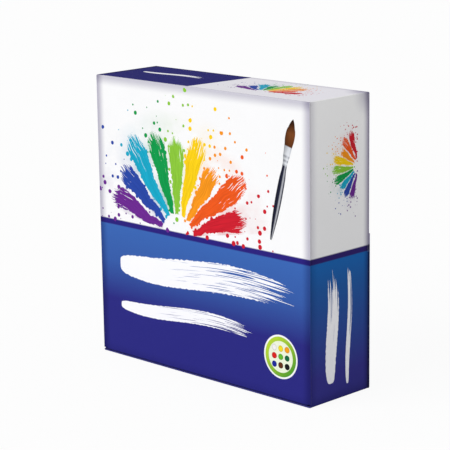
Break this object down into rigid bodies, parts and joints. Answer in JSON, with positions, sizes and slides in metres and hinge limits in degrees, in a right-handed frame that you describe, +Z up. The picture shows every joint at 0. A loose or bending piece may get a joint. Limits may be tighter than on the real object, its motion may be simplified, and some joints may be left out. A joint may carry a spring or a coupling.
{
  "type": "gouache paint box",
  "caption": "Folding carton paint set with a tuck-in hinged lid, dust flaps and rows of round screw-cap jars.",
  "frame": {"origin": "middle of the base, on the surface that the carton stands on", "axes": "+X to the right seen from the front, +Y to the back through the carton's depth, +Z up. The lid faces -Y."},
  "size_m": [0.115, 0.034, 0.115],
  "materials": {
    "carton_board": "coated folding board, printed outside, satin",
    "cup_plastic": "natural polypropylene, translucent",
    "liner_foam": "matte foam",
    "paint_white": "wet gouache",
    "cap_white": "moulded polypropylene, satin",
    "paint_lemon_yellow": "wet gouache",
    "cap_lemon_yellow": "moulded polypropylene, satin",
    "paint_golden_yellow": "wet gouache",
    "cap_golden_yellow": "moulded polypropylene, satin",
    "paint_scarlet": "wet gouache",
    "cap_scarlet": "moulded polypropylene, satin",
    "paint_light_green": "wet gouache",
    "cap_light_green": "moulded polypropylene, satin",
    "paint_dark_green": "wet gouache",
    "cap_dark_green": "moulded polypropylene, satin",
    "paint_ultramarine": "wet gouache",
    "cap_ultramarine": "moulded polypropylene, satin",
    "paint_brown": "wet gouache",
    "cap_brown": "moulded polypropylene, satin",
    "paint_black": "wet gouache",
    "cap_black": "moulded polypropylene, satin"
  },
  "bodies": {
    "carton": {"wall_top": "carton_board", "wall_bottom": "carton_board", "wall_left": "carton_board", "wall_right": "carton_board", "glue_flap": "carton_board", "back_flap_left": "carton_board", "back_flap_right": "carton_board", "back_flap_upper": "carton_board", "back_flap_lower": "carton_board", "jar_cup_1": "cup_plastic", "jar_paint_1": "paint_white", "jar_cup_2": "cup_plastic", "jar_paint_2": "paint_lemon_yellow", "jar_cup_3": "cup_plastic", "jar_paint_3": "paint_golden_yellow", "jar_cup_4": "cup_plastic", "jar_paint_4": "paint_scarlet", "jar_cup_5": "cup_plastic", "jar_paint_5": "paint_light_green", "jar_cup_6": "cup_plastic", "jar_paint_6": "paint_dark_green", "jar_cup_7": "cup_plastic", "jar_paint_7": "paint_ultramarine", "jar_cup_8": "cup_plastic", "jar_paint_8": "paint_brown", "jar_cup_9": "cup_plastic", "jar_paint_9": "paint_black"},
    "lid": {"lid_panel": "carton_board"},
    "tongue": {"tuck_tongue": "carton_board"},
    "left_dust_flap": {"dust_flap_left": "carton_board"},
    "right_dust_flap": {"dust_flap_right": "carton_board"},
    "cap_1": {"jar_cap_1": "cap_white", "jar_liner_1": "liner_foam"},
    "cap_2": {"jar_cap_2": "cap_lemon_yellow", "jar_liner_2": "liner_foam"},
    "cap_3": {"jar_cap_3": "cap_golden_yellow", "jar_liner_3": "liner_foam"},
    "cap_4": {"jar_cap_4": "cap_scarlet", "jar_liner_4": "liner_foam"},
    "cap_5": {"jar_cap_5": "cap_light_green", "jar_liner_5": "liner_foam"},
    "cap_6": {"jar_cap_6": "cap_dark_green", "jar_liner_6": "liner_foam"},
    "cap_7": {"jar_cap_7": "cap_ultramarine", "jar_liner_7": "liner_foam"},
    "cap_8": {"jar_cap_8": "cap_brown", "jar_liner_8": "liner_foam"},
    "cap_9": {"jar_cap_9": "cap_black", "jar_liner_9": "liner_foam"}
  },
  "joints": [
    {"name": "lid_fold", "type": "hinge", "parent": "carton", "child": "lid", "pos_m": [0, -0.017, 0.11499], "axis": [-1, 0, 0], "range_deg": [0, 175]},
    {"name": "tongue_fold", "type": "hinge", "parent": "lid", "child": "tongue", "pos_m": [0, -0.017, 0.0009], "axis": [-1, 0, 0], "range_deg": [0, 45]},
    {"name": "left_flap_fold", "type": "hinge", "parent": "carton", "child": "left_dust_flap", "pos_m": [-0.0575, -0.0164, 0.05749], "axis": [0, 0, -1], "range_deg": [0, 90]},
    {"name": "right_flap_fold", "type": "hinge", "parent": "carton", "child": "right_dust_flap", "pos_m": [0.0575, -0.0164, 0.05749], "axis": [0, 0, 1], "range_deg": [0, 90]},
    {"name": "cap_1_screw", "type": "hinge", "parent": "carton", "child": "cap_1", "pos_m": [-0.0376, 0, 0.09549], "axis": [0, -1, 0], "range_deg": [0, 360]},
    {"name": "cap_2_screw", "type": "hinge", "parent": "carton", "child": "cap_2", "pos_m": [0, 0, 0.09549], "axis": [0, -1, 0], "range_deg": [0, 360]},
    {"name": "cap_3_screw", "type": "hinge", "parent": "carton", "child": "cap_3", "pos_m": [0.0376, 0, 0.09549], "axis": [0, -1, 0], "range_deg": [0, 360]},
    {"name": "cap_4_screw", "type": "hinge", "parent": "carton", "child": "cap_4", "pos_m": [-0.0376, 0, 0.05829], "axis": [0, -1, 0], "range_deg": [0, 360]},
    {"name": "cap_5_screw", "type": "hinge", "parent": "carton", "child": "cap_5", "pos_m": [0, 0, 0.05829], "axis": [0, -1, 0], "range_deg": [0, 360]},
    {"name": "cap_6_screw", "type": "hinge", "parent": "carton", "child": "cap_6", "pos_m": [0.0376, 0, 0.05829], "axis": [0, -1, 0], "range_deg": [0, 360]},
    {"name": "cap_7_screw", "type": "hinge", "parent": "carton", "child": "cap_7", "pos_m": [-0.0376, 0, 0.02109], "axis": [0, -1, 0], "range_deg": [0, 360]},
    {"name": "cap_8_screw", "type": "hinge", "parent": "carton", "child": "cap_8", "pos_m": [0, 0, 0.02109], "axis": [0, -1, 0], "range_deg": [0, 360]},
    {"name": "cap_9_screw", "type": "hinge", "parent": "carton", "child": "cap_9", "pos_m": [0.0376, 0, 0.02109], "axis": [0, -1, 0], "range_deg": [0, 360]}
  ],
  "couplings": [
    {"joint": "tongue_fold", "follows": "lid_fold", "ratio": 0.25},
    {"joint": "left_flap_fold", "follows": "lid_fold", "ratio": 0.5},
    {"joint": "right_flap_fold", "follows": "lid_fold", "ratio": 0.5}
  ]
}
